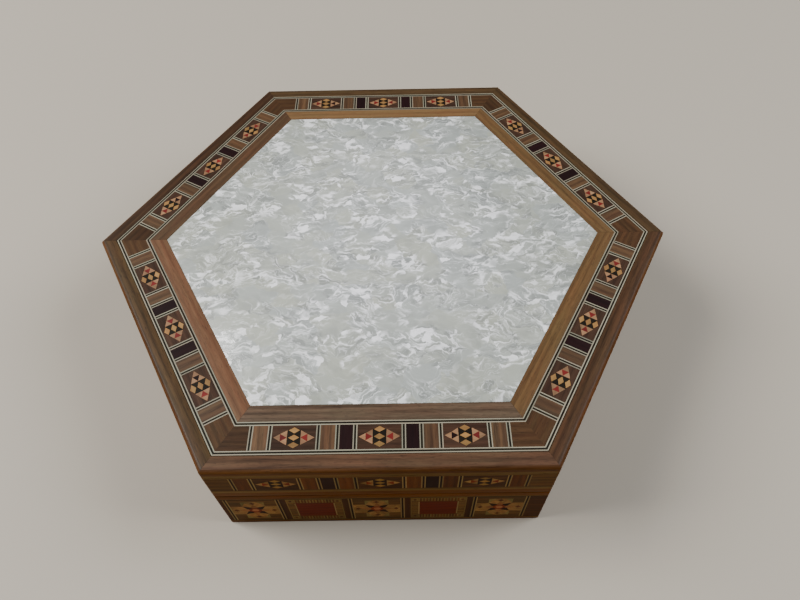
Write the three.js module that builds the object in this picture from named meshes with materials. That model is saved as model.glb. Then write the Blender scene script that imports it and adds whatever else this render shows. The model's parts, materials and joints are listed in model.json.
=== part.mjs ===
// Six-sided marquetry box with a lift-off lid and a pearl panel in its top.
// Millimetres, +Z up. The origin is the centre of the underside.
// Two corners of the hexagon lie on the X axis and two flat sides face along Y.

import * as THREE from 'three';
import { mergeVertices } from 'three/addons/utils/BufferGeometryUtils.js';

// Plan of the box
const sideCount = 6;
const acrossFlats = 207.85;
const wallThickness = 9;

// Heights on the outside, from the ground up
const footHeight = 1.8;
const bodyStripHeight = 23.6;
const bodyRimHeight = 3;
const lidRimHeight = 5.2;
const lidStripHeight = 12.25;
const edgingHeight = 4.85;

// Rings in the lid's top, from the outside in
const edgingWidth = 5.9;
const frameWidth = 12.25;
const borderWidth = 6.25;

// Thicknesses and the rounded arris of the lid
const baseThickness = 5;
const lidBoardThickness = 5.7;
const topInlayThickness = 2;
const sideInlayThickness = 1.6;
const arrisRadius = 1.6;
const arrisSegments = 8;

// Lip of the body that holds the lid in place
const lipHeight = 4;
const lipThickness = 3.5;
const lipClearance = 0.5;

// Glue line between two pieces that meet
const jointGap = 0.3;

// Derived levels
const bodyStripTop = footHeight + bodyStripHeight;
const seamLevel = bodyStripTop + bodyRimHeight;
const lidStripBottom = seamLevel + lidRimHeight;
const lidStripTop = lidStripBottom + lidStripHeight;
const boxHeight = lidStripTop + edgingHeight;
const inlaySeatLevel = boxHeight - topInlayThickness;
const lidBoardTop = inlaySeatLevel - jointGap;
const lidBoardBottom = lidBoardTop - lidBoardThickness;

// Derived distances from the axis to a flat side
const outerReach = acrossFlats / 2;
const innerReach = outerReach - wallThickness;
const edgingReach = outerReach - edgingWidth;
const frameReach = edgingReach - frameWidth;
const borderReach = frameReach - borderWidth;
const lipReach = innerReach + lipThickness;
const inlaySeatReach = outerReach - sideInlayThickness - jointGap;
const halfGap = jointGap / 2;

// Geometry helpers
const mitreAngle = Math.PI / sideCount;

const halfLengthAt = (reach) => reach * Math.tan(mitreAngle) - halfGap / Math.cos(mitreAngle);

function closedGeometry(geometry) {
  geometry.deleteAttribute('normal');
  geometry.deleteAttribute('uv');
  const merged = mergeVertices(geometry, 1e-4);
  merged.computeVertexNormals();
  return merged;
}

// A length whose section is drawn as (distance from the axis, height) and whose ends are mitred.
// It lies on the side that faces -Y.
function mitredLength(section) {
  const geometry = new THREE.ExtrudeGeometry(section, {
    depth: 1,
    bevelEnabled: false,
    curveSegments: arrisSegments,
  });
  const position = geometry.attributes.position;
  for (let i = 0; i < position.count; i += 1) {
    const reach = position.getX(i);
    const height = position.getY(i);
    const end = 1 - 2 * position.getZ(i);
    position.setXYZ(i, end * halfLengthAt(reach), -reach, height);
  }
  return closedGeometry(geometry);
}

// A six-sided plate between two levels.
function hexagonPlate(reach, bottom, thickness) {
  const corner = reach / Math.cos(mitreAngle);
  const outline = new THREE.Shape();
  for (let i = 0; i < sideCount; i += 1) {
    const angle = 2 * mitreAngle * i;
    const x = corner * Math.cos(angle);
    const y = corner * Math.sin(angle);
    if (i === 0) {
      outline.moveTo(x, y);
    } else {
      outline.lineTo(x, y);
    }
  }
  outline.closePath();
  const geometry = new THREE.ExtrudeGeometry(outline, { depth: thickness, bevelEnabled: false });
  geometry.translate(0, 0, bottom);
  return closedGeometry(geometry);
}

function polygon(points) {
  return new THREE.Shape(points.map(([reach, height]) => new THREE.Vector2(reach, height)));
}

function rectangle(reachInside, reachOutside, bottom, top) {
  return polygon([
    [reachInside, bottom],
    [reachOutside, bottom],
    [reachOutside, top],
    [reachInside, top],
  ]);
}

// Sections of the mitred lengths

// Wall of the body: a seat for the strip in its outer face and a lip at its inner top edge.
function bodyWallSection() {
  return polygon([
    [innerReach, 0],
    [outerReach, 0],
    [outerReach, footHeight],
    [inlaySeatReach, footHeight],
    [inlaySeatReach, bodyStripTop],
    [outerReach, bodyStripTop],
    [outerReach, seamLevel - halfGap],
    [lipReach, seamLevel - halfGap],
    [lipReach, seamLevel + lipHeight],
    [innerReach, seamLevel + lipHeight],
  ]);
}

// Wall of the lid: rebated below to clear the lip, and above to carry the board inside the edging.
function lidWallSection() {
  const rebateReach = lipReach + lipClearance;
  const rebateTop = seamLevel + lipHeight + lipClearance;
  return polygon([
    [rebateReach, seamLevel + halfGap],
    [outerReach, seamLevel + halfGap],
    [outerReach, lidStripBottom],
    [inlaySeatReach, lidStripBottom],
    [inlaySeatReach, lidStripTop],
    [edgingReach, lidStripTop],
    [edgingReach, lidBoardBottom - jointGap],
    [innerReach, lidBoardBottom - jointGap],
    [innerReach, rebateTop],
    [rebateReach, rebateTop],
  ]);
}

// Edging around the top, with its outer top edge rounded.
function edgingSection() {
  const section = new THREE.Shape();
  const bottom = lidStripTop + jointGap;
  section.moveTo(edgingReach, bottom);
  section.lineTo(outerReach, bottom);
  section.lineTo(outerReach, boxHeight - arrisRadius);
  section.absarc(outerReach - arrisRadius, boxHeight - arrisRadius, arrisRadius, 0, Math.PI / 2, false);
  section.lineTo(edgingReach, boxHeight);
  section.closePath();
  return section;
}

function sideInlaySection(bottom, height) {
  const inside = outerReach - sideInlayThickness;
  return rectangle(inside, outerReach, bottom + halfGap, bottom + height - halfGap);
}

function topInlaySection(reachInside, reachOutside) {
  return rectangle(reachInside, reachOutside - jointGap, inlaySeatLevel, boxHeight);
}

// Materials, one per kind of surface
const finishes = {
  walnut: { color: '#6e4630', roughness: 0.38, metalness: 0 },
  bandWood: { color: '#7c4524', roughness: 0.42, metalness: 0 },
  innerWood: { color: '#a2764e', roughness: 0.6, metalness: 0 },
  marquetry: { color: '#8a6a44', roughness: 0.35, metalness: 0 },
  pearl: { color: '#dcdcda', roughness: 0.22, metalness: 0 },
};

// Assembly
const box = new THREE.Group();

function addPiece(name, geometry, finish, turn) {
  const piece = new THREE.Mesh(geometry, new THREE.MeshStandardMaterial(finishes[finish]));
  piece.name = name;
  piece.rotation.z = turn;
  box.add(piece);
}

// One mitred length on each side, numbered from the side that faces -Y, turning towards +X.
function addRing(name, section, finish) {
  const geometry = mitredLength(section);
  for (let side = 0; side < sideCount; side += 1) {
    addPiece(`${name}_${side + 1}`, geometry.clone(), finish, 2 * mitreAngle * side);
  }
}

function addBody() {
  addPiece('base_board', hexagonPlate(innerReach - jointGap, 0, baseThickness), 'innerWood', 0);
  addRing('body_wall', bodyWallSection(), 'bandWood');
  addRing('body_marquetry', sideInlaySection(footHeight, bodyStripHeight), 'marquetry');
}

function addLid() {
  const boardReach = edgingReach - jointGap;
  addPiece('lid_board', hexagonPlate(boardReach, lidBoardBottom, lidBoardThickness), 'innerWood', 0);
  addRing('lid_wall', lidWallSection(), 'bandWood');
  addRing('lid_marquetry', sideInlaySection(lidStripBottom, lidStripHeight), 'marquetry');
  addRing('walnut_edging', edgingSection(), 'walnut');
  addRing('top_marquetry', topInlaySection(frameReach, edgingReach), 'marquetry');
  addRing('walnut_border', topInlaySection(borderReach, frameReach), 'walnut');
  const pearlReach = borderReach - jointGap;
  addPiece('pearl_panel', hexagonPlate(pearlReach, inlaySeatLevel, topInlayThickness), 'pearl', 0);
}

addBody();
addLid();

export default box;
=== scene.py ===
import json
import math
import random

import bmesh
import bpy
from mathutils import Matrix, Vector

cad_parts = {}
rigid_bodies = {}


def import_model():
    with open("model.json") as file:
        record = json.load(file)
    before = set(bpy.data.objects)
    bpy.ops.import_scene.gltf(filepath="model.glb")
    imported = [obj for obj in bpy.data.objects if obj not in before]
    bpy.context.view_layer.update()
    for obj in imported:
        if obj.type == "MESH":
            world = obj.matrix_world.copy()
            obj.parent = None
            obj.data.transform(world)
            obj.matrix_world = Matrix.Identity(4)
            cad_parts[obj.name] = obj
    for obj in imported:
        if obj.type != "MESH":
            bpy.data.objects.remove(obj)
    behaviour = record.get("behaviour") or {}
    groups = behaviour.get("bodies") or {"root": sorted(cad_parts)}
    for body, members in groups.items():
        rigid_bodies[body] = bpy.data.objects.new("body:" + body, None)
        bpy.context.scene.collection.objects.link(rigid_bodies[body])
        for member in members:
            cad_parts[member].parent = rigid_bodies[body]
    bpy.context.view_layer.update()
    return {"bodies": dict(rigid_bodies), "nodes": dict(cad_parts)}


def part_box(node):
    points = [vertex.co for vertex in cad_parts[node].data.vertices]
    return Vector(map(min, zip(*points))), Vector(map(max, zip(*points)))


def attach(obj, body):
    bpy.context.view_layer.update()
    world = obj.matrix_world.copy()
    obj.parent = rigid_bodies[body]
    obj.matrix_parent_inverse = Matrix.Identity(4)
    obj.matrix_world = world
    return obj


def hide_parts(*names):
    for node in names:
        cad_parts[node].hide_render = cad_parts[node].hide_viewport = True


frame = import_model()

rootBody = list(frame["bodies"])[0]
mm = 0.001
toCentimetres = 100.0
snap = 1e-6  # two points nearer than this count as one
quarter = math.pi / 2  # of a full turn
eighth = math.pi / 4
sideCount = 6
mitreTurn = math.pi / sideCount  # half of the turn from one side to the next
sine, cosine = math.sin(mitreTurn), math.cos(mitreTurn)


# Places read from the frame

def nodeLow(node):
    return Vector(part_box(node)[0])


def nodeHigh(node):
    return Vector(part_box(node)[1])


outerReach = -nodeLow("walnut_edging_1").y  # axis to the outer face of a side
cornerReach = outerReach / cosine
topLevel = nodeHigh("walnut_edging_1").z
halfGap = 0.15 * mm  # half of the CAD's gap between two pieces
jointFill = 0.13 * mm  # how far a dressed strip grows into that gap
cornerEase = 0.16 * mm  # flat that breaks the sharp corner between two sides
squarely = 0.9  # how far a normal points along an axis when its face is picked as facing that way
sideHalf = outerReach * math.tan(mitreTurn)
rawHalf = sideHalf + 2 * mm  # half of a length before its mitres are cut
print("frame read:", len(frame["nodes"]), "nodes")


# Small modelling helpers

def pickNothing():
    if bpy.context.object and bpy.context.object.mode != "OBJECT":
        bpy.ops.object.mode_set(mode="OBJECT")
    bpy.ops.object.select_all(action="DESELECT")


def makeActive(piece):
    pickNothing()
    piece.select_set(True)
    bpy.context.view_layer.objects.active = piece


def openPiece(piece, selectMode="FACE"):
    makeActive(piece)
    bpy.ops.object.mode_set(mode="EDIT")
    bpy.ops.mesh.select_mode(type=selectMode)
    bpy.ops.mesh.select_all(action="DESELECT")


def closePiece():
    bpy.ops.object.mode_set(mode="OBJECT")


def selectParts(piece, form, wanted):
    bpy.ops.mesh.select_all(action="DESELECT")
    mesh = bmesh.from_edit_mesh(piece.data)
    for part in getattr(mesh, form):
        if wanted(part):
            part.select_set(True)
    mesh.select_flush_mode()


def facesUp(face):
    return face.normal.z > 0.5


def applyPlace(piece):
    makeActive(piece)
    bpy.ops.object.transform_apply(location=True, rotation=True, scale=True)


def rename(piece, name):
    piece.name = name
    piece.data.name = name
    return piece


def addBlock(name, low, high):
    pickNothing()
    low, high = Vector(low), Vector(high)
    bpy.ops.mesh.primitive_cube_add(size=1, location=(low + high) / 2, scale=high - low)
    piece = rename(bpy.context.object, name)
    applyPlace(piece)
    return piece


def copyPiece(piece, name):
    double = piece.copy()
    double.data = piece.data.copy()
    bpy.context.collection.objects.link(double)
    return rename(double, name)


def joinPieces(parts, name):
    pickNothing()
    for part in parts:
        part.select_set(True)
    bpy.context.view_layer.objects.active = parts[0]
    bpy.ops.object.join()
    return rename(bpy.context.object, name)


def cutWhole(piece, point, normal, **options):
    openPiece(piece)
    bpy.ops.mesh.select_all(action="SELECT")
    bpy.ops.mesh.bisect(plane_co=point, plane_no=normal, threshold=snap, **options)
    closePiece()


def trim(piece, point, normal):
    cutWhole(piece, point, normal, use_fill=True, clear_outer=True)


def cutAcross(piece, y=0, z=0):
    cutWhole(piece, (0, y, z), (0, 1, 0) if y else (0, 0, 1))


def turnedTo(piece, side):
    piece.rotation_euler = (0, 0, 2 * mitreTurn * side)
    applyPlace(piece)


def addLayer(piece, name, form, values, domain="FACE"):
    layer = piece.data.attributes.new(name, form, domain)
    layer.data.foreach_set("vector" if form == "FLOAT_VECTOR" else "value", values)


def readLayer(piece, name):
    return [item.value for item in piece.data.attributes[name].data]


# Marquetry. A strip is laid out flat: x along it, y across it, face at z = 0.
# Every face carries the kind of its wood, the number of its tile and the turn of its grain.

glueHalf = 0.022 * mm  # half of a glue line between two inlaid pieces
copyStep = 1000  # keeps the tile numbers of one copied pattern apart from the next
tileCount = 0


def nextTile():
    global tileCount
    tileCount += 1
    return tileCount


def markFaces(piece, kinds, tiles, turns):
    addLayer(piece, "kind", "INT", [kindNames.index(kind) for kind in kinds])
    addLayer(piece, "tile", "INT", tiles)
    addLayer(piece, "turn", "FLOAT", turns)


def addInlay(name, rect, thickness):
    low = (rect[0] + glueHalf, rect[1] + glueHalf, -thickness)
    return addBlock(name, low, (rect[2] - glueHalf, rect[3] - glueHalf, 0))


def inlayBlock(name, rect, thickness, kind, turn=0.0):
    piece = addInlay(name, rect, thickness)
    count = len(piece.data.polygons)
    markFaces(piece, [kind] * count, [nextTile()] * count, [turn] * count)
    return piece


def insideOutline(x, y, points):
    inside = False
    for i, (x1, y1) in enumerate(points):
        x0, y0 = points[i - 1]
        if (y0 > y) != (y1 > y) and x < x0 + (x1 - x0) * (y - y0) / (y1 - y0):
            inside = not inside
    return inside


def cutAlong(piece, start, end):
    spans = [sorted((start[axis], end[axis])) for axis in (0, 1)]

    def crossed(face):
        if not facesUp(face):
            return False
        for axis, (low, high) in enumerate(spans):
            values = [loop.vert.co[axis] for loop in face.loops]
            slack = snap if high - low > snap else -snap  # a face that the line only touches isn't cut
            if max(values) < low + slack or min(values) > high - slack:
                return False
        return True

    selectParts(piece, "faces", crossed)
    along = Vector((end[0] - start[0], end[1] - start[1], 0)).normalized()
    bpy.ops.mesh.bisect(
        plane_co=(start[0], start[1], 0), plane_no=(along.y, -along.x, 0), threshold=snap
    )


def inlayPattern(name, width, height, thickness, tiles):
    piece = addInlay(name, (-width / 2, -height / 2, width / 2, height / 2), thickness)
    openPiece(piece)
    done = set()
    for tile in tiles:
        points = tile["points"]
        for i in range(len(points)):
            ends = sorted((points[i - 1], points[i]))
            key = tuple(round(value / mm, 3) for end in ends for value in end)
            if key not in done:
                done.add(key)
                cutAlong(piece, ends[0], ends[1])
    for face in bmesh.from_edit_mesh(piece.data).faces:
        face.material_index = 0
        if facesUp(face):
            middle = face.calc_center_median()
            for index, tile in enumerate(tiles):
                if insideOutline(middle.x, middle.y, tile["points"]):
                    face.material_index = index + 1
                    break
    selectParts(piece, "faces", facesUp)
    bpy.ops.mesh.dissolve_limited(angle_limit=0.01, delimit={"MATERIAL"})
    selectParts(piece, "faces", facesUp)
    bpy.ops.mesh.inset(thickness=glueHalf, use_individual=True, use_even_offset=False)
    for face in bmesh.from_edit_mesh(piece.data).faces:
        if facesUp(face) and not face.select:
            face.material_index = len(tiles) + 1
    closePiece()
    kinds = ["backing"] + [tile["kind"] for tile in tiles] + ["glue"]
    turns = [0.0] + [tile["turn"] for tile in tiles] + [0.0]
    ids = [nextTile() for _ in kinds]
    indices = [face.material_index for face in piece.data.polygons]
    markFaces(piece, [kinds[i] for i in indices], [ids[i] for i in indices], [turns[i] for i in indices])
    for face in piece.data.polygons:
        face.material_index = 0
    return piece


def tileOf(kind, points, turn=0.0):
    return {"kind": kind, "turn": turn, "points": points}


line = (("whiteLine", 0.45 * mm), ("blackLine", 0.66 * mm), ("whiteLine", 0.45 * mm))
lineWidth = sum(width for kind, width in line)


def addLine(strip, start, bottom, top, thickness):
    for kind, width in line:
        rect = (start, bottom, start + width, top)
        strip.append(inlayBlock("line", rect, thickness, kind, quarter))
        start += width


rosette = {"length": 15.1 * mm, "edge": 2.72 * mm, "unevenness": 0.07 * mm, "rhombus": 0.83}


def rosetteTiles(height, seed, oddEnd):
    edge = rosette["edge"]
    column = edge * math.cos(math.pi / 6)
    uneven = random.Random(seed)
    moved = {}

    def corner(i, j):  # i counts columns of the lattice, j counts half edges
        key = (i, j)
        if key not in moved:
            slip = rosette["unevenness"]
            moved[key] = (
                i * column + uneven.uniform(-slip, slip), j * edge / 2 + uneven.uniform(-slip, slip)
            )
        return moved[key]

    tiles = []

    def tile(kind, *keys, turn=0.0):
        tiles.append(tileOf(kind, [corner(*key) for key in keys], turn))

    # three rhombi stand in black in the middle, and the outer two reach into the ground
    for j in (-2, 0, 2):
        outline = [corner(*key) for key in ((-1, j), (0, j - 1), (1, j), (0, j + 1))]
        middle = [sum(point[axis] for point in outline) / 4 for axis in (0, 1)]
        inner = [tuple(m + (p - m) * rosette["rhombus"] for p, m in zip(point, middle))
                 for point in outline]
        tiles.append(tileOf("goldTile", inner))
        for i in range(4):  # four convex pieces, so that no tile lies inside another
            n = (i + 1) % 4
            kind = "ground" if (j < 0 and i < 2) or (j > 0 and i > 1) else "blackTile"
            tiles.append(tileOf(kind, [outline[i], outline[n], inner[n], inner[i]]))
    for i in (-1, 1):
        tile("blackTile", (0, -1), (i, -2), (i, 0), turn=quarter)
        tile("blackTile", (0, 1), (i, 0), (i, 2), turn=quarter)
        middleKind = "purpleBlock" if oddEnd and i < 0 else "redTile"
        tile(middleKind, (i, 0), (2 * i, -1), (2 * i, 1), turn=math.pi / 3)
        tile("paleTile", (i, 0), (2 * i, 1), (i, 2), turn=math.pi / 6)
        tile("paleTile", (i, 0), (2 * i, -1), (i, -2), turn=-math.pi / 6)
        tile("paleTile", (2 * i, -1), (3 * i, 0), (2 * i, 1), turn=0.2)
    endX = rosette["length"] / 2
    endY = height / 2
    for i in (-1, 1):
        for j in (-1, 1):
            rim = [corner(0, 3 * j), corner(i, 2 * j), corner(2 * i, j), corner(3 * i, 0)]
            tiles.append(tileOf("ground", rim + [(i * endX, 0), (i * endX, j * endY), (0, j * endY)]))
    return tiles


star = {"width": 17.5 * mm, "edge": 3.25 * mm, "heart": 1.45 * mm, "ring": 2.45 * mm, "armHalf": 4.4 * mm,
        "armReach": 8.7 * mm, "armTip": 1.3 * mm, "diamond": 1.15 * mm, "diamondFrom": 0.1 * mm,
        "diamondTo": 2.1 * mm, "diamondShy": 0.6 * mm, "unevenness": 0.05 * mm}


def starTiles(height, seed):
    edge = star["edge"]
    uneven = random.Random(seed)
    moved = {}

    def place(x, y):
        key = (round(x / mm, 2), round(y / mm, 2))
        if key not in moved:
            slip = star["unevenness"]
            moved[key] = (x + uneven.uniform(-slip, slip), y + uneven.uniform(-slip, slip))
        return moved[key]

    def ray(length, k):
        angle = k * eighth
        return (length * math.cos(angle), length * math.sin(angle))

    tip = 2 * math.cos(eighth / 2) * edge
    out = (1 + math.sqrt(2)) * edge
    tiles = [tileOf("orangeTile", [place(*ray(star["heart"], k + 0.5)) for k in range(8)], 0.3)]
    for k in range(8):
        before, after = [[place(*ray(length, k + part)) for length in (star["heart"], star["ring"], edge)]
                         for part in (-0.5, 0.5)]
        tiles.append(tileOf("redTile", [before[0], before[1], after[1], after[0]], k * eighth))
        points = [before[1], before[2], place(*ray(tip, k)), after[2], after[1]]
        tiles.append(tileOf("kiteTile" if k % 2 == 0 else "blackTile", points, k * eighth))
        points = [place(*ray(edge, k + 0.5)), place(*ray(tip, k)), place(*ray(out, k + 0.5)),
                  place(*ray(tip, k + 1))]
        tiles.append(tileOf("paleTile", points, (k + 0.5) * eighth))
    half = star["armHalf"]
    edgeX = star["width"] / 2
    edgeY = star["armReach"]
    low, high = ray(out, -0.5), ray(out, 0.5)
    diagonal = tip * math.cos(eighth)
    for k in (0, 2, 4, 6):
        turn = k * eighth
        c, s = round(math.cos(turn)), round(math.sin(turn))
        reach = edgeX if k % 4 == 0 else edgeY

        def arm(along, across):
            return place(along * c - across * s, along * s + across * c)

        near, far = tip + star["diamondFrom"], min(reach - star["diamondShy"], tip + star["diamondTo"])
        middle, side = (near + far) / 2, star["diamond"]
        points = [arm(near, 0), arm(middle, side), arm(far, 0), arm(middle, -side)]
        tiles.append(tileOf("rustTile", points, turn))
        for way, shoulder in ((1, high), (-1, low)):  # two halves, so that no tile lies round another
            points = [arm(tip, 0), arm(*shoulder), arm(reach, way * star["armTip"]), arm(reach, 0)]
            tiles.append(tileOf("paleTile", points, turn))
        for j in (-1, 1):
            points = [arm(diagonal, j * diagonal),
                      arm(out * math.cos(eighth / 2), j * out * math.sin(eighth / 2)),
                      arm(reach, j * star["armTip"]), arm(reach, j * half), arm(half, j * half)]
            tiles.append(tileOf("paleTile" if k % 4 == 0 else "oliveTile", points, turn + j * 0.5))
    for i in (-1, 1):
        for j in (-1, 1):
            points = [place(i * half, j * half), place(i * edgeX, j * half),
                      place(i * edgeX, j * edgeY), place(i * half, j * edgeY)]
            tiles.append(tileOf("starGround", points))
    for j in (-1, 1):
        tiles.append(tileOf("starGround", [place(-edgeX, j * edgeY), place(edgeX, j * edgeY),
                                           (edgeX, j * height / 2), (-edgeX, j * height / 2)]))
    return tiles


square = {"width": 20.7 * mm, "redWidth": 13.9 * mm, "redHeight": 13.6 * mm, "rim": 0.5 * mm,
          "barPitch": 1.3 * mm, "barShare": 0.55}


def squareTiles(height):
    tiles = []

    def rect(kind, x0, y0, x1, y1, turn=0.0):
        tiles.append(tileOf(kind, [(x0, y0), (x1, y0), (x1, y1), (x0, y1)], turn))

    w, h = square["width"] / 2, height / 2
    rw, rh = square["redWidth"] / 2, square["redHeight"] / 2
    rim = square["rim"]
    rect("redSquare", -rw, -rh, rw, rh, 0.1)
    for inner, outer in (((rw, rh), (rw + rim, rh + rim)), ((w - rim, h - rim), (w, h))):
        (x0, y0), (x1, y1) = inner, outer
        for j in (-1, 1):
            rect("rustTile" if x0 == rw else "dullLine", -x1, min(j * y0, j * y1), x1, max(j * y0, j * y1))
            rect("whiteLine" if x0 == rw else "dullLine", min(j * x0, j * x1), -y0, max(j * x0, j * x1), y0,
                 quarter)
    bandX = (rw + rim, w - rim)
    bandY = (rh + rim, h - rim)
    for i in (-1, 1):
        for j in (-1, 1):  # corners with a small dark heart
            cx, cy = i * sum(bandX) / 2, j * sum(bandY) / 2
            hx, hy = (bandX[1] - bandX[0]) / 5, (bandY[1] - bandY[0]) / 5
            rect("rustTile", cx - hx, cy - hy, cx + hx, cy + hy)
            x0, x1 = sorted((i * bandX[0], i * bandX[1]))
            y0, y1 = sorted((j * bandY[0], j * bandY[1]))
            rect("dullLine", x0, y0, cx, y1)
            rect("dullLine", cx, y0, x1, y1)
    for axis in (0, 1):  # ladders of small bars along the four edges
        run = bandX[0] if axis == 0 else bandY[0]
        low, high = bandY if axis == 0 else bandX
        count = 2 * round(run / square["barPitch"]) + 1
        pitch = 2 * run / count
        for j in (-1, 1):
            for i in range(count):
                start = -run + i * pitch
                split = start + pitch * square["barShare"]
                for kind, a, b in (("dullLine", start, split), ("brownBlock", split, start + pitch)):
                    c, d = sorted((j * low, j * high))
                    if axis == 0:
                        rect(kind, a, c, b, d, quarter)
                    else:
                        rect(kind, c, a, d, b)
    return tiles


blockWidths = {"brown": 5.0 * mm, "purple": 4.5 * mm, "rosette": rosette["length"],
               "line": lineWidth, "star": star["width"], "square": square["width"], "strip": 2.2 * mm}
blockKinds = {"brown": "brownBlock", "purple": "purpleBlock", "strip": "darkStrip"}


def layStrip(rows, order, reaches, thickness, patterns, cornerKind):
    strip = []
    net = []
    for edge, level, way in (("below", reaches[0], 1), ("above", reaches[1], -1)):
        for kind, width in rows[edge]:
            low, high = sorted((level, level + way * width))
            strip.append(inlayBlock("row", (-rawHalf, low, rawHalf, high), thickness, kind))
            level += way * width
        net.append(level)
    bottom, top = net
    place = rows["shift"] - sum(blockWidths[block] for block in order) / 2
    strip.append(inlayBlock("corner", (-rawHalf, bottom, place, top), thickness, cornerKind))
    seen = {}
    for block in order:
        width = blockWidths[block]
        if block == "line":
            addLine(strip, place, bottom, top, thickness)
        elif block in patterns:
            seen[block] = seen.get(block, -1) + 1
            double = copyPiece(patterns[block][seen[block] % len(patterns[block])], block)
            shift = nextTile() * copyStep
            for item in double.data.attributes["tile"].data:
                item.value += shift
            double.location = (place + width / 2, (bottom + top) / 2, 0)
            applyPlace(double)
            strip.append(double)
        else:
            rect = (place, bottom, place + width, top)
            strip.append(inlayBlock(block, rect, thickness, blockKinds[block], quarter))
        place += width
    strip.append(inlayBlock("corner", (place, bottom, rawHalf, top), thickness, cornerKind))
    return strip


print("helpers ready")


# Shader groups, each built once

def feed(tree, node, values):  # a value is a constant or the socket that it is linked from
    for key, value in values.items():
        if isinstance(value, (int, float, tuple)):
            node.inputs[key].default_value = value
        else:
            tree.links.new(value, node.inputs[key])


def addNode(tree, kind, x, y, values=None, **settings):
    node = tree.nodes.new(kind)
    node.location = (x, y)
    for key, value in settings.items():
        setattr(node, key, value)
    feed(tree, node, values or {})
    return node


def mathNode(tree, operation, x, y, *values, clamp=False):
    settings = {"operation": operation, "use_clamp": clamp}
    return addNode(tree, "ShaderNodeMath", x, y, dict(enumerate(values)), **settings).outputs[0]


def vectorNode(tree, operation, x, y, *values):
    node = addNode(tree, "ShaderNodeVectorMath", x, y, dict(enumerate(values)), operation=operation)
    return node.outputs["Value" if operation in ("LENGTH", "DOT_PRODUCT") else "Vector"]


def mixColor(tree, x, y, factor, first, second, blend="MIX"):
    values = {0: factor, 6: first, 7: second}
    return addNode(tree, "ShaderNodeMix", x, y, values, data_type="RGBA", blend_type=blend).outputs[2]


def stretched(tree, x, y, vector, scale):
    return vectorNode(tree, "MULTIPLY", x, y, vector, scale)


def splitColor(tree, x, y, color):
    return addNode(tree, "ShaderNodeSeparateColor", x, y, {0: color}).outputs


def noise(tree, x, y, vector, scale=1.0, detail=3.0, roughness=0.5, distortion=0.0):
    values = {"Vector": vector, "Scale": scale, "Detail": detail, "Roughness": roughness,
              "Distortion": distortion}
    return addNode(tree, "ShaderNodeTexNoise", x, y, values).outputs


def ramp(tree, x, y, value, low, high):
    values = {"Value": value, "From Min": low, "From Max": high}
    node = addNode(tree, "ShaderNodeMapRange", x, y, values, interpolation_type="SMOOTHSTEP")
    return node.outputs["Result"]


def attribute(tree, x, y, name):
    return addNode(tree, "ShaderNodeAttribute", x, y, attribute_name=name).outputs


def startGroup(name, sockets, left, right):
    group = bpy.data.node_groups.new(name, "ShaderNodeTree")
    for label, way, form, *value in sockets:
        socket = group.interface.new_socket(name=label, in_out=way, socket_type="NodeSocket" + form)
        if value:
            socket.default_value = value[0]
    inputs = addNode(group, "NodeGroupInput", left, 0).outputs
    return group, inputs, addNode(group, "NodeGroupOutput", right, 0)


def makeWoodFigure():
    group, inputs, outputs = startGroup("woodFigure", (
        ("Grain", "INPUT", "Vector"),
        ("Tone", "INPUT", "Float", 0.5),
        ("Dark", "INPUT", "Color", (0.05, 0.02, 0.01, 1)),
        ("Light", "INPUT", "Color", (0.3, 0.15, 0.08, 1)),
        ("Figure", "INPUT", "Float", 1.0),
        ("Pores", "INPUT", "Float", 0.5),
        ("Color", "OUTPUT", "Color"),
        ("Height", "OUTPUT", "Float"),
        ("Roughness", "OUTPUT", "Float"),
    ), -1200, 900)

    def layer(x, y, scale, *settings):
        vector = stretched(group, x - 200, y, inputs["Grain"], scale)
        return noise(group, x, y, vector, 1.0, *settings)["Fac"]

    streaks = layer(-700, 300, (0.28, 6.0, 6.0), 4.0, 0.62, 0.3)
    fibres = layer(-700, 60, (1.6, 26.0, 26.0), 3.0, 0.6, 0.1)
    bands = addNode(group, "ShaderNodeTexWave", -700, -180, {
        "Vector": stretched(group, -900, -180, inputs["Grain"], (0.08, 1.0, 0.8)),
        "Scale": 1.1, "Distortion": 5.0, "Detail": 3.0, "Detail Scale": 0.8,
    }, wave_type="BANDS", bands_direction="Y").outputs["Fac"]
    pores = ramp(group, -450, -460, layer(-700, -460, (4.0, 48.0, 48.0), 1.0), 0.60, 0.72)
    coarse = mathNode(group, "MULTIPLY", -450, 300, streaks, 1.15)
    woven = mathNode(group, "MULTIPLY_ADD", -250, 200, fibres, 0.80, coarse)
    banded = mathNode(group, "MULTIPLY_ADD", -60, 100, bands, 0.28, woven)
    centred = mathNode(group, "SUBTRACT", 100, 100, banded, 1.11)
    figured = mathNode(group, "MULTIPLY", 240, 100, centred, inputs["Figure"])
    share = mathNode(group, "ADD", 380, 100, figured, 0.5, clamp=True)
    color = mixColor(group, 520, 160, share, inputs["Dark"], inputs["Light"])
    hues = layer(100, 420, (0.5, 4.0, 4.0), 2.0, 0.5, 0.3)
    tint = mixColor(group, 280, 420, hues, (1.16, 0.92, 0.90, 1), (0.86, 1.06, 1.02, 1))
    tinted = mixColor(group, 600, 260, 1.0, color, tint, "MULTIPLY")
    toneValue = mathNode(group, "MULTIPLY_ADD", 240, -140, inputs["Tone"], 0.50, 0.587)
    toned = addNode(group, "ShaderNodeHueSaturation", 700, 60, {"Color": tinted, "Value": toneValue})
    poreShare = mathNode(group, "MULTIPLY", 240, -340, pores, inputs["Pores"])
    feed(group, outputs, {
        "Color": mixColor(group, 760, 0, poreShare, toned.outputs["Color"], (0.012, 0.006, 0.004, 1)),
        "Height": mathNode(group, "SUBTRACT", 640, -260, woven, poreShare),
        "Roughness": mathNode(group, "MULTIPLY_ADD", 640, -420, fibres, 0.16, 0.36),
    })
    return group


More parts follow.
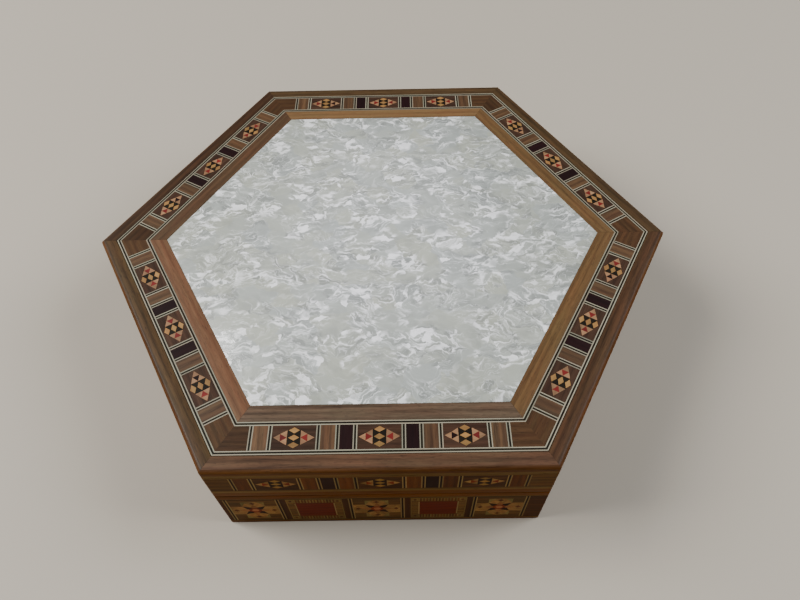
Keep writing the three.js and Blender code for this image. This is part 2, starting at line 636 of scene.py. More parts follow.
def makeHandling():
    group, inputs, outputs = startGroup("handling", (
        ("Position", "INPUT", "Vector"),
        ("Polish", "INPUT", "Float", 0.4),
        ("Wear", "INPUT", "Float", 0.3),
        ("Coat", "OUTPUT", "Float"),
        ("Ripple", "OUTPUT", "Float"),
    ), -900, 400)
    smears = noise(group, -600, 120, inputs["Position"], 28.0, 4.0, 0.6, 0.6)["Fac"]
    ripple = noise(group, -600, -160, inputs["Position"], 190.0, 2.0, 0.5)["Fac"]
    worn = ramp(group, -380, 120, smears, 0.35, 0.75)
    share = mathNode(group, "MULTIPLY", -180, 120, worn, inputs["Wear"])
    kept = mathNode(group, "SUBTRACT", -20, 120, 1.0, share, clamp=True)
    coat = mathNode(group, "MULTIPLY", 140, 120, kept, inputs["Polish"])
    feed(group, outputs, {"Coat": coat, "Ripple": ripple})
    return group


woodFigure = makeWoodFigure()
handling = makeHandling()
reliefDepth = 0.03 * mm


def startMaterial(name, coatRoughness):
    material = bpy.data.materials.new(name)
    material.use_nodes = True
    tree = material.node_tree
    shader = tree.nodes["Principled BSDF"]
    shader.location = (500, 0)
    tree.nodes["Material Output"].location = (800, 0)
    shader.inputs["Coat Roughness"].default_value = coatRoughness
    return material, tree, shader


def lacquer(tree, shader, height, polish, rippleShare):
    coords = addNode(tree, "ShaderNodeTexCoord", -900, -500).outputs["Object"]
    hands = addNode(tree, "ShaderNodeGroup", -650, -500, node_tree=handling)
    feed(tree, hands, {"Position": coords, "Polish": polish, "Wear": 0.6})
    relief = mathNode(tree, "MULTIPLY_ADD", -250, -420, hands.outputs["Ripple"], rippleShare, height)
    bump = addNode(tree, "ShaderNodeBump", 50, -420,
                   {"Strength": 0.35, "Distance": reliefDepth, "Height": relief})
    feed(tree, shader, {"Coat Weight": hands.outputs["Coat"], "Normal": bump.outputs["Normal"]})


topGloss = {"coat": 0.34, "coatRoughness": 0.14, "specular": 0.36, "extraRoughness": 0.0}
darkGloss = {"coat": 0.20, "coatRoughness": 0.14, "specular": 0.18, "extraRoughness": 0.0}
edgeGloss = {"coat": 0.10, "coatRoughness": 0.35, "specular": 0.15, "extraRoughness": 0.12}
sideGloss = {"coat": 0.05, "coatRoughness": 0.25, "specular": 0.015, "extraRoughness": 0.1}


def woodMaterial(name, dark, light, figure, pores, gloss, paintedShadePair=None):
    material, tree, shader = startMaterial(name, gloss["coatRoughness"])
    wood = addNode(tree, "ShaderNodeGroup", -500, 100, node_tree=woodFigure)
    feed(tree, wood, {
        "Grain": attribute(tree, -900, 200, "grain")["Vector"],
        "Tone": attribute(tree, -900, 0, "tone")["Fac"],
        "Dark": (*dark, 1), "Light": (*light, 1), "Figure": figure, "Pores": pores,
    })
    if paintedShadePair:  # goes over into a second pair of colours, a painted shade, on faces that look outward
        outwardShade = attribute(tree, -900, 500, "outwardShade")["Fac"]
        pairs = ((-720, "Dark", dark, paintedShadePair[0]), (-600, "Light", light, paintedShadePair[1]))
        for x, socket, first, second in pairs:
            feed(tree, wood, {socket: mixColor(tree, x, 500, outwardShade, (*first, 1), (*second, 1))})
    feed(tree, shader, {
        "Specular IOR Level": gloss["specular"],
        "Base Color": wood.outputs["Color"],
        "Roughness": mathNode(tree, "ADD", 100, -100, wood.outputs["Roughness"], gloss["extraRoughness"]),
    })
    lacquer(tree, shader, wood.outputs["Height"], gloss["coat"], 0.3)
    return material


# Kinds of wood in the marquetry: dark colour, light colour, strength of figure and of pores

finishes = {
    "backing": ((0.05, 0.026, 0.012), (0.11, 0.062, 0.03), 0.8, 0.3),
    "ground": ((0.021, 0.01, 0.0058), (0.068, 0.034, 0.02), 1.0, 0.45),
    "brownBlock": ((0.036, 0.016, 0.006), (0.125, 0.066, 0.029), 1.2, 0.45),
    "purpleBlock": ((0.006, 0.0014, 0.0017), (0.017, 0.0034, 0.0036), 0.8, 0.2),
    "cornerBlock": ((0.025, 0.0112, 0.0048), (0.084, 0.042, 0.018), 0.9, 0.5),
    "whiteLine": ((0.22, 0.2, 0.145), (0.32, 0.295, 0.225), 0.8, 0.05),
    "blackLine": ((0.0065, 0.0052, 0.0024), (0.014, 0.0105, 0.0052), 0.6, 0.0),
    "redTile": ((0.095, 0.0044, 0.003), (0.2, 0.011, 0.008), 0.8, 0.1),
    "paleTile": ((0.2, 0.1, 0.046), (0.36, 0.2, 0.105), 0.9, 0.08),
    "goldTile": ((0.2, 0.1, 0.028), (0.37, 0.205, 0.07), 0.9, 0.08),
    "blackTile": ((0.006, 0.004, 0.0018), (0.014, 0.009, 0.004), 0.6, 0.0),
    "orangeTile": ((0.12, 0.028, 0.005), (0.2, 0.058, 0.013), 0.8, 0.1),
    "rustTile": ((0.055, 0.017, 0.005), (0.12, 0.042, 0.012), 0.9, 0.2),
    "redSquare": ((0.055, 0.0044, 0.0024), (0.115, 0.01, 0.0052), 0.9, 0.25),
    "dullLine": ((0.1, 0.07, 0.03), (0.17, 0.125, 0.06), 0.8, 0.1),
    "starGround": ((0.05, 0.026, 0.009), (0.135, 0.074, 0.027), 1.0, 0.5),
    "darkStrip": ((0.03, 0.012, 0.005), (0.068, 0.029, 0.012), 1.0, 0.4),
    "kiteTile": ((0.17, 0.072, 0.034), (0.3, 0.145, 0.072), 0.9, 0.1),
    "oliveTile": ((0.135, 0.104, 0.048), (0.25, 0.2, 0.1), 0.9, 0.08),
    "oliveRow": ((0.078, 0.045, 0.015), (0.172, 0.108, 0.04), 1.0, 0.3),
    "glue": ((0.005, 0.003, 0.002), (0.012, 0.008, 0.005), 0.5, 0.0),
}
kindNames = list(finishes)
darkKinds = ("ground", "purpleBlock", "cornerBlock", "blackLine", "blackTile", "glue")


def topWood(kind):
    return woodMaterial(kind + "Top", *finishes[kind], darkGloss if kind in darkKinds else topGloss)


topWoods = {kind: topWood(kind) for kind in kindNames}
bounceTint = (1.04, 0.84, 0.50)  # painted warm bounce light on the shaded sides


def bounceTinted(color):
    return tuple(value * tint for value, tint in zip(color, bounceTint))


# Colours of the sides: lighter and warmer than the top ones, painted warm bounce light on the shaded sides
bounceLitSideColours = {
    "ground": ((0.036, 0.015, 0.005), (0.1, 0.046, 0.015), 1.0, 0.5),
    "starGround": ((0.054, 0.029, 0.0095), (0.15, 0.084, 0.03), 1.0, 0.5),
    "darkStrip": ((0.034, 0.0135, 0.0045), (0.084, 0.035, 0.0115), 1.0, 0.4),
    "cornerBlock": ((0.05, 0.025, 0.008), (0.145, 0.08, 0.027), 1.0, 0.5),
    "brownBlock": ((0.062, 0.0215, 0.0046), (0.158, 0.06, 0.015), 1.1, 0.45),
    "purpleBlock": ((0.014, 0.0052, 0.003), (0.034, 0.013, 0.008), 0.8, 0.2),
    "whiteLine": ((0.215, 0.16, 0.084), (0.325, 0.25, 0.145), 0.8, 0.05),
    "redTile": ((0.125, 0.021, 0.006), (0.24, 0.048, 0.014), 0.8, 0.1),
    "paleTile": ((0.18, 0.106, 0.046), (0.34, 0.21, 0.096), 0.9, 0.08),
    "goldTile": ((0.18, 0.108, 0.036), (0.34, 0.215, 0.078), 0.9, 0.08),
    "blackTile": ((0.017, 0.0075, 0.0024), (0.036, 0.017, 0.006), 0.6, 0.0),
    "blackLine": ((0.016, 0.008, 0.0028), (0.034, 0.017, 0.0065), 0.6, 0.0),
    "orangeTile": ((0.27, 0.104, 0.062), (0.43, 0.19, 0.12), 0.8, 0.1),
    "kiteTile": ((0.175, 0.075, 0.036), (0.32, 0.158, 0.078), 0.9, 0.1),
    "oliveTile": ((0.125, 0.1, 0.046), (0.245, 0.205, 0.098), 0.9, 0.08),
    "rustTile": ((0.06, 0.02, 0.007), (0.125, 0.045, 0.016), 0.9, 0.2),
    "redSquare": ((0.072, 0.0115, 0.0045), (0.15, 0.026, 0.01), 0.9, 0.25),
    "dullLine": ((0.13, 0.088, 0.034), (0.205, 0.148, 0.062), 0.8, 0.1),
}


# A lit copy of a top wood for the sides, with painted warm bounce light in its colours
def sideWood(kind):
    dark, light, figure, pores = bounceLitSideColours.get(kind, finishes[kind])
    return woodMaterial(kind + "Side", bounceTinted(dark), bounceTinted(light), figure, pores, sideGloss)


sideWoods = {kind: sideWood(kind) for kind in kindNames}


marquetrySpread = 0.42  # how far the tone of a tile may lie from the middle
woodReach = 40  # in the centimetres of the grain
stripGap = 0.01 * mm  # half of the gap where two strips meet in a mitre
mitreGap = 0.025 * mm  # the same for two plain lengths of wood
turnStart = 0.35  # how far a face leans outward before it counts as part of the side


def setGrain(piece, toneSpread, seed):
    mesh = piece.data
    dice = random.Random(seed)
    marked = "tile" in mesh.attributes
    tiles, turns = [readLayer(piece, name) if marked else [0] * len(mesh.polygons)
                    for name in ("tile", "turn")]
    looks = {}
    for tile in sorted(set(tiles)):  # each tile comes from its own place in the wood
        offset = Vector([dice.uniform(-woodReach, woodReach) for _ in range(3)])
        looks[tile] = (0.5 + dice.uniform(-toneSpread, toneSpread), offset)
    addLayer(piece, "tone", "FLOAT", [looks[tile][0] for tile in tiles])
    vectors = []
    for face in mesh.polygons:
        c, s = math.cos(turns[face.index]), math.sin(turns[face.index])
        offset = looks[tiles[face.index]][1]
        for corner in face.vertices:
            p = mesh.vertices[corner].co * toCentimetres
            vectors += (p.x * c + p.y * s + offset.x, p.y * c - p.x * s + offset.y, p.z + offset.z)
    addLayer(piece, "grain", "FLOAT_VECTOR", vectors, "CORNER")


def giveKinds(piece, woods):
    kinds = readLayer(piece, "kind")
    used = sorted(set(kinds))
    piece.data.materials.clear()
    for kind in used:
        piece.data.materials.append(woods[kindNames[kind]])
    for face, kind in zip(piece.data.polygons, kinds):
        face.material_index = used.index(kind)


def finishPiece(piece, node):
    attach(piece, rootBody)
    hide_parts(node)


# Normals of the mitre planes of a flat strip. The planes go through the box's axis.
topMitres = ((cosine, sine, 0), (-cosine, sine, 0))
sideMitres = ((cosine, 0, -sine), (-cosine, 0, -sine))


def buildStrips(node, seed, rows, order, reaches, thickness, patterns, cornerKind, top):
    parts = layStrip(rows, order, reaches, thickness, patterns, cornerKind)
    axisPoint = Vector((0, 0, 0 if top else -outerReach))
    for part in parts:
        if part.name.startswith(("row", "corner")):
            for normal in topMitres if top else sideMitres:
                trim(part, axisPoint - Vector(normal) * stripGap, normal)
    strip = joinPieces(parts, node)
    if not top:
        for way in (-1, 1):
            normal = Vector((way * sine, 0, cosine))
            trim(strip, axisPoint + normal * (cornerReach - cornerEase), normal)
    for side in range(sideCount):
        piece = copyPiece(strip, f"{node}_dressed_{side + 1}")
        setGrain(piece, marquetrySpread, seed + side)
        giveKinds(piece, topWoods if top else sideWoods)
        piece.rotation_euler = (0 if top else quarter, 0, 0)
        piece.location = (0, 0, topLevel) if top else (0, -outerReach, 0)
        applyPlace(piece)
        turnedTo(piece, side)
        finishPiece(piece, f"{node}_{side + 1}")
    bpy.data.objects.remove(strip)


def reachesOf(node, axis):
    return nodeLow(node)[axis] - jointFill, nodeHigh(node)[axis] + jointFill


def netOf(reaches, edge):
    return reaches[1] - reaches[0] - 2 * sum(width for kind, width in edge)


skirtEdge = (("oliveRow", 0.85 * mm),)
bodyEdge = (("dullLine", 0.5 * mm), ("blackLine", 0.4 * mm))
topRows = {"below": line, "above": line, "shift": -0.1 * mm}
skirtRows = {"below": skirtEdge, "above": skirtEdge, "shift": -0.2 * mm}
bodyRows = {"below": bodyEdge, "above": bodyEdge, "shift": -2.3 * mm}
topOrder = ("line brown line rosette line brown line purple line rosette line purple line brown "
            "line rosette line brown line").split()
skirtOrder = ("line brown line rosette line brown line purple line brown line rosette line brown "
              "line purple line brown line rosette line brown line").split()
bodyOrder = "line star line strip square strip line star line strip square strip line star line".split()

topReaches = reachesOf("top_marquetry_1", 1)
skirtReaches = reachesOf("lid_marquetry_1", 2)
bodyReaches = reachesOf("body_marquetry_1", 2)
topNet = netOf(topReaches, line)
skirtNet = netOf(skirtReaches, skirtEdge)
bodyNet = netOf(bodyReaches, bodyEdge)
topInlay = topLevel - nodeLow("top_marquetry_1").z
sideInlay = nodeHigh("lid_marquetry_1").y + outerReach

topRosettes = [inlayPattern("rosette", rosette["length"], topNet, topInlay,
                            rosetteTiles(topNet, 10 + i, i == 2)) for i in range(3)]
skirtRosettes = [inlayPattern("rosette", rosette["length"], skirtNet, sideInlay,
                              rosetteTiles(skirtNet, 20 + i, False)) for i in range(3)]
stars = [inlayPattern("star", star["width"], bodyNet, sideInlay, starTiles(bodyNet, 30 + i))
         for i in range(3)]
squares = [inlayPattern("square", square["width"], bodyNet, sideInlay, squareTiles(bodyNet))]
print("blocks of the pattern made")

buildStrips("top_marquetry", 100, topRows, topOrder, topReaches, topInlay,
            {"rosette": topRosettes}, "cornerBlock", True)
buildStrips("lid_marquetry", 200, skirtRows, skirtOrder, skirtReaches, sideInlay,
            {"rosette": skirtRosettes}, "cornerBlock", False)
buildStrips("body_marquetry", 300, bodyRows, bodyOrder, bodyReaches, sideInlay,
            {"star": stars, "square": squares}, "darkStrip", False)
for source in topRosettes + skirtRosettes + stars + squares:
    bpy.data.objects.remove(source)
print("marquetry laid")


# Plain lengths of wood, one on each side

def mitreLength(piece, ease=cornerEase):
    for way in (-1, 1):
        normal = Vector((way * cosine, sine, 0))
        trim(piece, -normal * mitreGap, normal)
        if ease:
            normal = Vector((way * sine, -cosine, 0))
            trim(piece, normal * (cornerReach - ease), normal)


def growFaces(piece, wanted, move):
    openPiece(piece)
    selectParts(piece, "faces", lambda face: wanted(face.normal, face.calc_center_median()))
    bpy.ops.mesh.extrude_region_move(TRANSFORM_OT_translate={"value": move})
    closePiece()


def roundEdges(piece, wanted, width, segments):
    openPiece(piece, "EDGE")
    selectParts(piece, "edges", wanted)
    bpy.ops.mesh.bevel(offset=width, segments=segments, affect="EDGES", clamp_overlap=True)
    closePiece()


def smoothPiece(piece):
    makeActive(piece)
    bpy.ops.object.shade_smooth_by_angle(angle=math.radians(35))


def layRing(source, node, woods, seed, spread=0.3, pickFinish=None):
    for side in range(sideCount):
        piece = copyPiece(source, f"{node}_dressed_{side + 1}")
        setGrain(piece, spread, seed + side)
        piece.data.materials.clear()
        for name in woods[side]:
            piece.data.materials.append(walnutFinish[name])
        if pickFinish:
            faces = piece.data.polygons
            for face in faces:
                face.material_index = pickFinish(face)
            # share of painted shade: 0 on a face that looks up, 1 on a face that looks straight out
            outwardShade = [min(1.0, max(0.0, (-face.normal.y - turnStart) / 0.6)) for face in faces]
            addLayer(piece, "outwardShade", "FLOAT", outwardShade)
        turnedTo(piece, side)
        finishPiece(piece, f"{node}_{side + 1}")
    bpy.data.objects.remove(source)


def edgeAt(y=None, z=None):
    def wanted(edge):
        first, second = [vert.co for vert in edge.verts]
        fits = abs(first.y - second.y) < snap and abs(first.z - second.z) < snap
        fits = fits and (y is None or abs(first.y - y) < 10 * snap)
        return fits and (z is None or abs(first.z - z) < 10 * snap)
    return wanted


walnutWoods = {
    "edging": ((0.036, 0.0165, 0.0085), (0.132, 0.07, 0.038), 1.2, 0.55, edgeGloss),
    "edgingOlive": ((0.025, 0.0135, 0.0052), (0.092, 0.053, 0.022), 1.2, 0.55, edgeGloss),
    "edgingRed": ((0.022, 0.01, 0.0044), (0.082, 0.04, 0.018), 1.2, 0.55, edgeGloss),
    # edgingSide: on faces that look outward its colours go over into a darker, warmer pair, painted shade
    # under the arris
    "edgingSide": ((0.036, 0.0165, 0.0085), (0.132, 0.07, 0.038), 1.1, 0.55, sideGloss,
                   ((0.054, 0.017, 0.0026), (0.13, 0.048, 0.0085))),
    # sideRow: ochre with painted warm bounce light in it
    "sideRow": ((0.08, 0.0372, 0.0074), (0.18, 0.0925, 0.02), 1.0, 0.4, sideGloss),
    "greyBrown": ((0.042, 0.024, 0.013), (0.165, 0.105, 0.065), 1.1, 0.55, topGloss),
    "orangeTan": ((0.062, 0.03, 0.01), (0.15, 0.084, 0.032), 1.0, 0.45, topGloss),
    "pinkTan": ((0.112, 0.054, 0.02), (0.24, 0.138, 0.056), 0.9, 0.4, topGloss),
    "darkBrown": ((0.036, 0.017, 0.007), (0.11, 0.058, 0.027), 1.0, 0.5, topGloss),
    "redTan": ((0.082, 0.034, 0.016), (0.19, 0.095, 0.048), 1.0, 0.45, topGloss),
    # band: a brown wood made warmer with painted warm bounce light
    "band": ((0.056, 0.0165, 0.0016), (0.16, 0.054, 0.0052), 1.0, 0.35, sideGloss),
}
walnutFinish = {name: woodMaterial(name, *values) for name, values in walnutWoods.items()}

edging = {"round": 1.6 * mm, "segments": 6, "ease": 0.3 * mm, "spread": 0.25, "row": 1.9 * mm,
          "innerRound": 0.12 * mm, "innerGap": 0.02 * mm, "foot": 1.7 * jointFill,
          "woods": ("edging", "edgingRed", "edgingOlive", "edgingOlive", "edgingRed", "edgingOlive")}


def makeEdging():
    low, high = nodeLow("walnut_edging_1"), nodeHigh("walnut_edging_1")
    outside, inside = -outerReach, high.y - edging["innerGap"]
    bottom = low.z - edging["foot"]
    rowTop = bottom + edging["row"]
    piece = addBlock("edging", (-rawHalf, outside, bottom), (rawHalf, inside, high.z))
    roundEdges(piece, edgeAt(outside, high.z), edging["round"], edging["segments"])
    roundEdges(piece, edgeAt(inside, high.z), edging["innerRound"], 2)
    cutAcross(piece, z=rowTop)
    mitreLength(piece, edging["ease"])
    smoothPiece(piece)

    def pickFinish(face):
        if face.normal.y > -turnStart:
            return 0
        return 2 if face.normal.y < -0.8 and face.center.z < rowTop else 1

    # on the edging's outward face: painted shade under the arris above the row, painted warm bounce light on
    # the row below
    woods = [(name, "edgingSide", "sideRow") for name in edging["woods"]]
    layRing(piece, "walnut_edging", woods, 400, edging["spread"], pickFinish)


border = {"ease": 0.15 * mm,
          "woods": ("greyBrown", "orangeTan", "orangeTan", "pinkTan", "darkBrown", "redTan")}


def makeBorder():
    outside, inside = reachesOf("walnut_border_1", 1)
    bottom = nodeLow("walnut_border_1").z
    piece = addBlock("border", (-sideHalf, outside, bottom), (sideHalf, inside, topLevel))
    roundEdges(piece, edgeAt(inside, topLevel), border["ease"], 2)
    mitreLength(piece, 0)
    smoothPiece(piece)
    layRing(piece, "walnut_border", [(name,) for name in border["woods"]], 500)


wall = {"inlaySeat": 1.9 * mm, "lipThickness": 3.5 * mm, "lipClearance": 0.5 * mm, "lipRound": 0.6 * mm,
        "seamGap": 0.12 * mm, "ease": 0.2 * mm, "seamEase": 0.35 * mm, "rim": 5.9 * mm, "row": 1.6 * mm}
wallSeat = outerReach - wall["inlaySeat"]
wallInside = -nodeHigh("body_wall_1").y
bodyLipTop = nodeHigh("body_wall_1").z
seamLevel = nodeLow("lid_wall_1").z - halfGap
toFace = (0, wallSeat - outerReach, 0)  # from the seat of the inlay out to the face of the wall


def makeBodyWalls():
    top = seamLevel - wall["seamGap"]
    foot = nodeLow("body_marquetry_1").z - halfGap
    bandLow = nodeHigh("body_marquetry_1").z + halfGap
    lipY = -(wallInside + wall["lipThickness"])
    piece = addBlock("bodyWall", (-rawHalf, -wallSeat, 0), (rawHalf, -wallInside, top))
    cutAcross(piece, y=lipY)
    growFaces(piece, lambda normal, middle: normal.z > squarely and middle.y > lipY, (0, 0, bodyLipTop - top))
    cutAcross(piece, z=foot)
    cutAcross(piece, z=bandLow)
    growFaces(piece, lambda normal, middle: normal.y < -squarely and middle.y < lipY - mm
              and not foot < middle.z < bandLow, toFace)
    roundEdges(piece, edgeAt(-outerReach, top), wall["seamEase"], 3)
    roundEdges(piece, edgeAt(-outerReach, 0), wall["ease"], 2)
    roundEdges(piece, edgeAt(z=bodyLipTop), wall["lipRound"], 3)
    mitreLength(piece)
    smoothPiece(piece)
    layRing(piece, "body_wall", [("band",)] * sideCount, 600)


def makeLidWalls():
    bottom = seamLevel + wall["seamGap"]
    rebateY = -(wallInside + wall["lipThickness"] + wall["lipClearance"])
    rebateTop = bodyLipTop + wall["lipClearance"]
    boardBottom = nodeLow("lid_board").z - 2 * halfGap
    rimY = -(outerReach - wall["rim"])
    stripLow = nodeLow("lid_marquetry_1").z - halfGap
    rowLow = stripLow - wall["row"]
    top = nodeHigh("lid_wall_1").z
    piece = addBlock("lidWall", (-rawHalf, -wallSeat, rebateTop), (rawHalf, -wallInside, boardBottom))
    cutAcross(piece, y=rebateY)
    cutAcross(piece, y=rimY)
    growFaces(piece, lambda normal, middle: normal.z < -squarely and middle.y < rebateY,
              (0, 0, bottom - rebateTop))
    growFaces(piece, lambda normal, middle: normal.z > squarely and middle.y < rimY,
              (0, 0, top - boardBottom))
    cutAcross(piece, z=stripLow)
    growFaces(piece, lambda normal, middle: normal.y < -squarely and middle.y < rimY - mm
              and middle.z < stripLow, toFace)
    roundEdges(piece, edgeAt(-outerReach, bottom), wall["seamEase"], 3)
    cutAcross(piece, z=rowLow)
    mitreLength(piece)
    smoothPiece(piece)
    layRing(piece, "lid_wall", [("band", "sideRow")] * sideCount, 700,
            pickFinish=lambda face: int(face.normal.y < -0.8 and rowLow < face.center.z < stripLow))


makeEdging()
makeBorder()
makeBodyWalls()
makeLidWalls()
print("edging, border and walls made")


# Panel of crushed shell

def hexagonPlate(name, reach, bottom, top):
    half = reach / cosine + 2 * mm
    piece = addBlock(name, (-half, -half, bottom), (half, half, top))
    for side in range(sideCount):
        angle = 2 * mitreTurn * side + mitreTurn
        normal = Vector((math.cos(angle), math.sin(angle), 0))
        trim(piece, normal * reach, normal)
    return piece


def makeFlakeShading():
    group, inputs, outputs = startGroup("flakeShading", (
        ("Vector", "INPUT", "Vector"),
        ("Slope", "INPUT", "Float", 1.0),
        ("Difference", "INPUT", "Float", 0.5),
        ("Value", "OUTPUT", "Float"),
        ("Random", "OUTPUT", "Color"),
    ), -900, 500)
    cells = addNode(group, "ShaderNodeTexVoronoi", -650, 100, {"Vector": inputs["Vector"], "Scale": 1.0},
                    voronoi_dimensions="2D", feature="F1").outputs
    local = vectorNode(group, "SUBTRACT", -420, 0, inputs["Vector"], cells["Position"])
    lean = vectorNode(group, "MULTIPLY_ADD", -420, 200, cells["Color"], (3.0, 3.0, 0.0), (-1.5, -1.5, 0.0))
    tilt = vectorNode(group, "DOT_PRODUCT", -220, 100, local, lean)
    draw = splitColor(group, -220, -120, cells["Color"])[2]
    centred = mathNode(group, "SUBTRACT", -40, -120, draw, 0.5)
    level = mathNode(group, "MULTIPLY", 120, -120, centred, inputs["Difference"])
    value = mathNode(group, "MULTIPLY_ADD", 280, 60, tilt, inputs["Slope"], level)
    feed(group, outputs, {"Value": value, "Random": cells["Color"]})
    return group


flakeShading = makeFlakeShading()

shell = {
    "coolFlat": (0.396, 0.420, 0.414), "warmFlat": (0.424, 0.436, 0.378), "shade": (0.205, 0.214, 0.211),
    "gleam": (0.965, 0.960, 1.0), "thread": (0.95, 0.955, 1.0),
    "flake": (0.95, 1.35), "chip": (2.1, 3.1), "fold": (1.0, 2.9), "crease": (1.9, 7.0),
    "patch": (0.8, 1.3),
    # painted shade: darker and warmer towards the ends of the panel, where the light falls off
    "paintedFalloff": (25 * mm, 72 * mm), "paintedFalloffTint": (0.85, 0.855, 0.825),
}


def addFlakes(tree, x, y, vector, scale, slope, difference):
    vector = stretched(tree, x - 180, y, vector, (*scale, 1.0))
    values = {"Vector": vector, "Slope": slope, "Difference": difference}
    return addNode(tree, "ShaderNodeGroup", x, y, values, node_tree=flakeShading).outputs


def scaledNoise(tree, x, y, vector, scale, detail, roughness, distortion):
    source = stretched(tree, x - 180, y, vector, (*scale, 1.0))
    return noise(tree, x, y, source, 1.0, detail, roughness, distortion)["Fac"]


def objectPlace(tree, x, y):
    return addNode(tree, "ShaderNodeTexCoord", x, y).outputs["Object"]


def makePearlMaterial():
    material, tree, shader = startMaterial("crushedShell", 0.05)

    def calc(operation, x, y, *values):
        return mathNode(tree, operation, x, y, *values)

    coords = objectPlace(tree, -2300, 0)
    inCentimetres = stretched(tree, -2100, 0, coords, (toCentimetres,) * 3)
    warp = noise(tree, -1900, 200, inCentimetres, 1.5, 3.0, 0.55)
    warped = vectorNode(tree, "MULTIPLY_ADD", -1700, 100, warp["Color"], (1.0, 0.7, 0.0), inCentimetres)

    # flakes with their own tilt, and the smaller chips among them
    flakes = addFlakes(tree, -1300, 400, warped, shell["flake"], 0.75, 0.8)
    split = splitColor(tree, -1100, 600, flakes["Random"])
    lean = calc("MULTIPLY_ADD", -940, 600, split[0], 1.8, -0.9)
    leaning = addNode(tree, "ShaderNodeVectorRotate", -780, 500, rotation_type="Z_AXIS")
    feed(tree, leaning, {"Vector": warped, "Angle": lean})
    apart = vectorNode(tree, "MULTIPLY_ADD", -600, 500, flakes["Random"], (9.0, 9.0, 0.0), leaning.outputs[0])
    chips = addFlakes(tree, -1300, 150, warped, shell["chip"], 0.6, 1.4)
    chipSplit = splitColor(tree, -1100, 150, chips["Random"])
    patches = scaledNoise(tree, -240, 900, warped, shell["patch"], 2.0, 0.5, 0.4)
    folds = scaledNoise(tree, -240, 600, apart, shell["fold"], 1.4, 0.5, 0.5)
    creases = scaledNoise(tree, -240, 300, apart, shell["crease"], 1.0, 0.5, 0.4)
    calm = noise(tree, -240, 0, inCentimetres, 0.8, 2.0, 0.5)["Fac"]
    lively = ramp(tree, -40, 0, calm, 0.38, 0.52)
    partly = calc("MULTIPLY_ADD", 120, 0, lively, 0.78, 0.22)

    # light that the folds catch
    height = calc("SUBTRACT", -40, 600, folds, 0.5)
    ridge = ramp(tree, 120, 700, calc("ABSOLUTE", 40, 700, height), 0.058, 0.004)
    hollow = ramp(tree, 120, 500, height, 0.01, 0.17)
    strong = ramp(tree, -40, 900, patches, 0.44, 0.58)
    chosen = ramp(tree, -40, 300, chipSplit[1], 0.50, 0.62)
    chipLight = calc("MULTIPLY", 120, 300, chips["Value"], chosen)
    facing = calc("MULTIPLY", 120, 620, height, -1.6)
    folded = calc("MULTIPLY_ADD", 260, 600, flakes["Value"], 0.5, facing)
    light = calc("MULTIPLY", 420, 600, calc("ADD", 320, 600, folded, chipLight), partly)

    # shares of the bright gleam, of the dark hollows and of the thin creases
    streaked = calc("MULTIPLY_ADD", 480, 1000, ramp(tree, 320, 1000, creases, 0.36, 0.54), 0.20, 0.80)
    gleam = calc("MULTIPLY", 640, 760, ramp(tree, 580, 760, light, 0.21, 0.54), streaked)
    ribbon = calc("MULTIPLY", 420, 800, calc("MULTIPLY", 300, 800, ridge, partly),
                  calc("MULTIPLY_ADD", 200, 900, strong, 0.80, 0.10))
    gleamShare = calc("MAXIMUM", 740, 760, ribbon, gleam)
    shade = calc("MULTIPLY", 640, 560, ramp(tree, 580, 560, light, -0.12, -0.75), 0.65)
    hollowShare = calc("MULTIPLY", 420, 460, hollow, calc("MULTIPLY", 300, 400, partly, 0.42))
    cloud = calc("MULTIPLY", 640, 420, ramp(tree, 580, 420, warp["Fac"], 0.54, 0.36), 0.22)
    shadeShare = calc("MAXIMUM", 740, 560, calc("ADD", 700, 500, hollowShare, cloud), shade)
    apartness = calc("ABSOLUTE", 40, -160, calc("SUBTRACT", -40, -160, creases, 0.5))
    crease = ramp(tree, 120, -160, apartness, 0.035, 0.004)
    creaseShare = calc("MULTIPLY", 740, 300, crease, calc("MULTIPLY", 600, 240, lively, 0.4))

    # colours, with painted shade: a little darker and warmer towards the ends, where the light falls off
    flat = mixColor(tree, 320, 1200, split[1], (*shell["coolFlat"], 1), (*shell["warmFlat"], 1))
    shaded = mixColor(tree, 880, 900, shadeShare, flat, (*shell["shade"], 1))
    creased = mixColor(tree, 1020, 800, creaseShare, shaded, (*shell["thread"], 1))
    gleaming = mixColor(tree, 1160, 700, gleamShare, creased, (*shell["gleam"], 1))
    fromMiddle = vectorNode(tree, "LENGTH", 700, 1100, stretched(tree, 520, 1100, coords, (1.0, 0.75, 0.0)))
    paintedFalloff = ramp(tree, 880, 1100, fromMiddle, *shell["paintedFalloff"])
    paintedFalloffColor = mixColor(tree, 1000, 1000, 1.0, gleaming, (*shell["paintedFalloffTint"], 1), "MULTIPLY")
    feed(tree, shader, {
        "Base Color": mixColor(tree, 1160, 900, paintedFalloff, gleaming, paintedFalloffColor),
        "Roughness": calc("MULTIPLY_ADD", 1060, 300, gleamShare, -0.12, 0.34),
    })
    shader.location = (1300, 100)
    tree.nodes["Material Output"].location = (1600, 100)
    lacquer(tree, shader, gleamShare, 0.5, 0.25)
    return material


pearl = {"fill": 0.12 * mm, "ease": 0.12 * mm}


def makePearl():
    low, high = nodeLow("pearl_panel"), nodeHigh("pearl_panel")
    piece = hexagonPlate("pearl_dressed", high.y + pearl["fill"], low.z, topLevel)
    roundEdges(piece, lambda edge: all(abs(vert.co.z - topLevel) < snap for vert in edge.verts),
               pearl["ease"], 2)
    smoothPiece(piece)
    piece.data.materials.append(makePearlMaterial())
    finishPiece(piece, "pearl_panel")


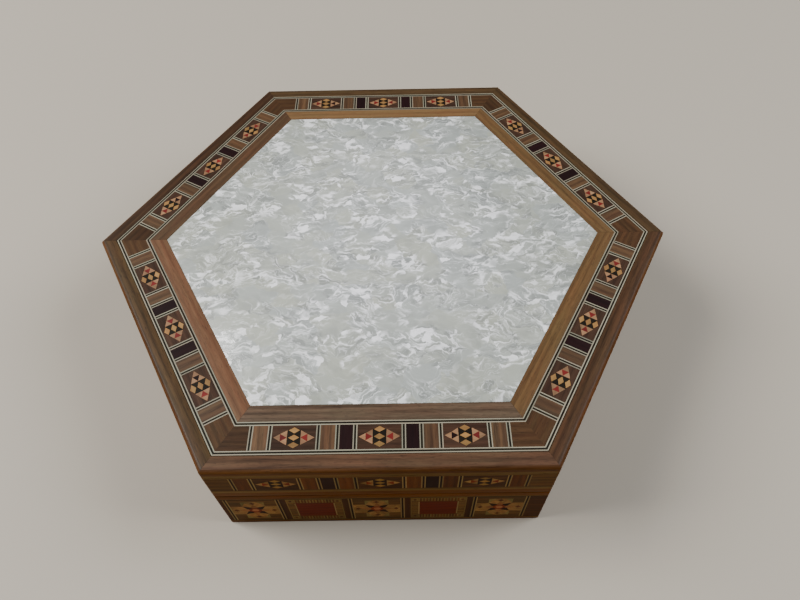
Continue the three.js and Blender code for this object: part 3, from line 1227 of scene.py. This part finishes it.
def makeBoardMaterial():
    material, tree, shader = startMaterial("plainBoard", 0.4)
    wood = addNode(tree, "ShaderNodeGroup", -450, 100, node_tree=woodFigure)
    feed(tree, wood, {
        "Grain": stretched(tree, -700, 200, objectPlace(tree, -900, 200), (toCentimetres,) * 3),
        "Dark": (0.22, 0.13, 0.07, 1), "Light": (0.42, 0.28, 0.165, 1), "Pores": 0.35,
    })
    bump = addNode(tree, "ShaderNodeBump", 100, -350,
                   {"Strength": 0.4, "Distance": 2 * reliefDepth, "Height": wood.outputs["Height"]})
    feed(tree, shader, {
        "Base Color": wood.outputs["Color"],
        "Roughness": mathNode(tree, "ADD", 100, -150, wood.outputs["Roughness"], 0.2),
        "Normal": bump.outputs["Normal"],
    })
    return material


def finishBoards():
    material = makeBoardMaterial()
    for name in ("base_board", "lid_board"):
        for slot in frame["nodes"][name].material_slots:
            slot.material = material


makePearl()
finishBoards()
print("panel and boards finished")


# Floor, light and camera

def makeStage():
    pickNothing()
    bpy.ops.mesh.primitive_plane_add(size=6, location=(0, 0, -0.0002))
    floor = bpy.context.object
    floor.name = "studioFloor"
    material, tree, shader = startMaterial("studioFloor", 0.5)
    shader.inputs["Base Color"].default_value = (0.40, 0.358, 0.298, 1)
    shader.inputs["Roughness"].default_value = 0.7
    floor.data.materials.append(material)


lampAim = Vector((0, 0, 0.03))


def makeLights():
    world = bpy.data.worlds.new("softRoom")
    world.use_nodes = True
    background = world.node_tree.nodes["Background"]
    background.inputs["Color"].default_value = (0.88, 0.93, 1.0, 1)
    background.inputs["Strength"].default_value = 0.14
    bpy.context.scene.world = world
    lamps = (
        ("leftPanel", (-1.5, 0.15, 1.35), 1.1, 62.6, (1.0, 0.985, 0.96)),
        ("farWindow", (0.0, -2.2, 1.0), 0.35, 4.8, (1.0, 1.0, 1.0)),
        ("rightPanel", (1.5, 0.1, 1.35), 1.1, 38.5, (0.97, 0.985, 1.0)),
    )
    for name, place, size, power, color in lamps:
        data = bpy.data.lights.new(name, "AREA")
        data.size = size
        data.energy = power
        data.color = color
        lamp = bpy.data.objects.new(name, data)
        lamp.location = place
        lamp.rotation_euler = (lampAim - Vector(place)).to_track_quat("-Z", "Y").to_euler()
        bpy.context.collection.objects.link(lamp)


sensorWidth = 36
photoWidth = 800
focalPixels = 642.84  # focal length in pixels, fitted to the photo


def makeCamera():
    data = bpy.data.cameras.new("photoCamera")
    data.sensor_width = sensorWidth
    data.lens = focalPixels * sensorWidth / photoWidth
    camera = bpy.data.objects.new("photoCamera", data)
    camera.location = (0.0090, -0.1851, 0.2541)
    camera.rotation_euler = [math.radians(a) for a in (36.59, 0.84, -0.54)]
    bpy.context.collection.objects.link(camera)
    bpy.context.scene.camera = camera


makeStage()
makeLights()
makeCamera()
print("stage set")
